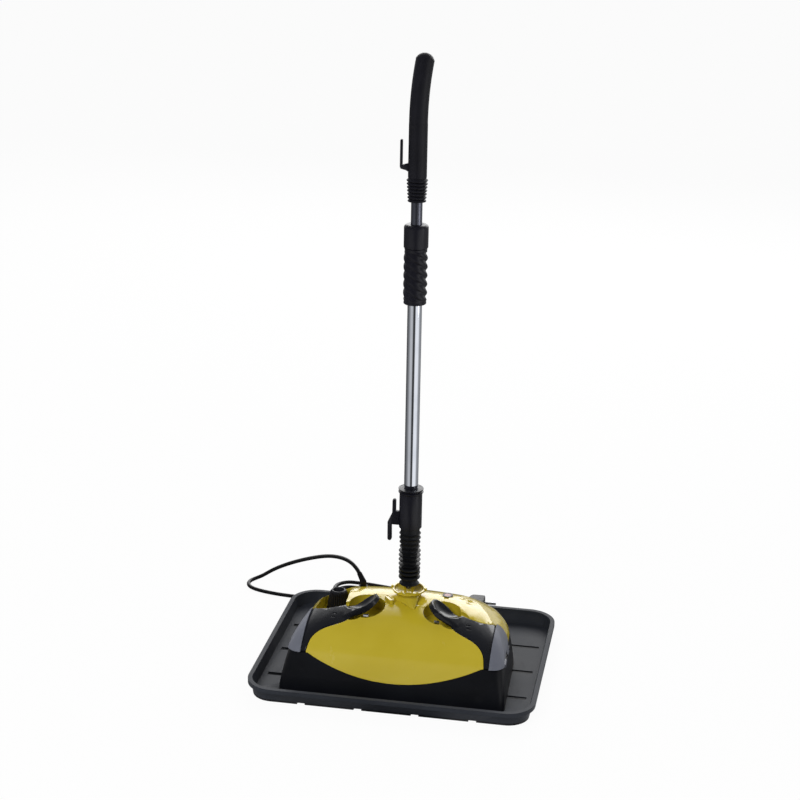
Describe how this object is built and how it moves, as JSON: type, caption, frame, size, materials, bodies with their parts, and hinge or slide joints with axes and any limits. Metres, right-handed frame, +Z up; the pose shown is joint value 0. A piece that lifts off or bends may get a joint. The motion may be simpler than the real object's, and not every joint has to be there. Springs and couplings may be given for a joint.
{
  "type": "steam mop",
  "caption": "Upright steam mop: a wide head with boiler, clamp levers and filler cap stands in a rimmed floor tray; telescopic pole on a bellows swivel, cord hooks, cord and plug.",
  "frame": {"origin": "middle of the tray's underside", "axes": "+Z up along the pole, +X to the head's right seen from the front, -Y to the front of the head, where its long sloping face is"},
  "size_m": [0.5472, 0.4442, 0.9654],
  "materials": {
    "tray_plastic": "fine grained polypropylene",
    "housing_black": "satin black ABS",
    "cover_yellow": "glossy mustard yellow ABS",
    "lever_black": "satin gloss black ABS",
    "jaw_grey": "satin grey plastic",
    "sole_aluminium": "brushed",
    "screw_steel": "zinc plated",
    "boiler_aluminium": "drawn",
    "bracket_steel": "pressed steel",
    "element_steel": "oxidised",
    "ceramic": "moulded ceramic and nylon",
    "brass": "turned",
    "copper_pipe": "drawn pipe",
    "lamp_red": "translucent lens",
    "trim_black": "moulded trim",
    "gland_rubber": "soft PVC",
    "catch_steel": "spring steel",
    "seal_rubber": "silicone",
    "swivel_steel": "machined",
    "fork_nylon": "glass filled nylon",
    "boot_rubber": "moulded rubber",
    "tube_chrome": "polished",
    "tube_satin": "satin",
    "lock_plastic": "satin black plastic",
    "nylon_white": "nylon",
    "grip_rubber": "soft grip",
    "cord_pvc": "PVC sheath"
  },
  "bodies": {
    "tray": {"tray": "tray_plastic"},
    "head": {"lower_housing": "housing_black", "sole_plate": "sole_aluminium", "sole_screws": "screw_steel", "top_cover": "cover_yellow", "boiler": "boiler_aluminium", "boiler_saddles": "bracket_steel", "heating_element": "element_steel", "thermostat": "ceramic", "thermal_fuse": "ceramic", "terminal_block": "ceramic", "filler_neck": "brass", "steam_pipe": "copper_pipe", "pilot_lamp": "lamp_red", "lamp_bezel": "trim_black", "cord_gland": "gland_rubber", "hinge_pin_left": "screw_steel", "hinge_pin_right": "screw_steel", "catch_left": "catch_steel", "catch_right": "catch_steel", "neck_cup": "cover_yellow", "cord_tube": "cord_pvc", "cord_hank": "cord_pvc", "plug_body": "cord_pvc", "plug_pins": "screw_steel"},
    "clamp_left": {"lever_left": "lever_black", "jaw_left": "jaw_grey"},
    "clamp_right": {"lever_right": "lever_black", "jaw_right": "jaw_grey"},
    "cap_insert": {"cap_plug": "brass", "cap_seal": "seal_rubber"},
    "cap": {"cap_knob": "trim_black"},
    "latch": {"tilt_latch": "cover_yellow"},
    "swivel": {"swivel_cross": "swivel_steel"},
    "pole": {"pole_fork": "fork_nylon", "bellows_boot": "boot_rubber", "hook_housing": "lock_plastic", "lower_hook": "lock_plastic", "lower_tube": "tube_chrome", "lock_collar": "lock_plastic", "lock_collet": "nylon_white"},
    "lock_sleeve": {"lock_grip": "lock_plastic"},
    "upper_pole": {"upper_tube": "tube_satin", "guide_bush": "nylon_white", "handle_ferrule": "grip_rubber", "hand_grip": "grip_rubber", "upper_hook": "lock_plastic", "grip_cap": "grip_rubber"}
  },
  "joints": [
    {"name": "mop_lift", "type": "slide", "parent": "tray", "child": "head", "axis": [0, 0, 1], "range_m": [0, 0.08]},
    {"name": "lever_left_open", "type": "hinge", "parent": "head", "child": "clamp_left", "pos_m": [-0.165, -0.061, 0.054], "axis": [0, -1, 0], "range_deg": [0, 60]},
    {"name": "lever_right_open", "type": "hinge", "parent": "head", "child": "clamp_right", "pos_m": [0.165, -0.061, 0.054], "axis": [0, 1, 0], "range_deg": [0, 60]},
    {"name": "cap_rise", "type": "slide", "parent": "head", "child": "cap_insert", "axis": [0, 0, 1], "range_m": [0, 0.0076]},
    {"name": "cap_turn", "type": "hinge", "parent": "cap_insert", "child": "cap", "pos_m": [-0.118, 0.033, 0.08], "axis": [0, 0, 1], "range_deg": [0, 900]},
    {"name": "latch_press", "type": "slide", "parent": "head", "child": "latch", "axis": [0, 0, -1], "range_m": [0, 0.0025], "stiffness_N_per_m": 600, "springref_m": -0.001},
    {"name": "neck_tilt", "type": "hinge", "parent": "head", "child": "swivel", "pos_m": [0, 0.014, 0.128], "axis": [1, 0, 0], "range_deg": [-50, 20]},
    {"name": "neck_sway", "type": "hinge", "parent": "swivel", "child": "pole", "pos_m": [0, 0.014, 0.128], "axis": [0, 1, 0], "range_deg": [-30, 30]},
    {"name": "lock_twist", "type": "hinge", "parent": "pole", "child": "lock_sleeve", "pos_m": [0, 0.014, 0.63], "axis": [0, 0, 1], "range_deg": [0, 90]},
    {"name": "telescope", "type": "slide", "parent": "pole", "child": "upper_pole", "axis": [0, 0, 1], "range_m": [-0.03, 0.25]}
  ],
  "couplings": [
    {"joint": "cap_rise", "follows": "cap_turn", "m_per_rad": 0.00047746}
  ]
}
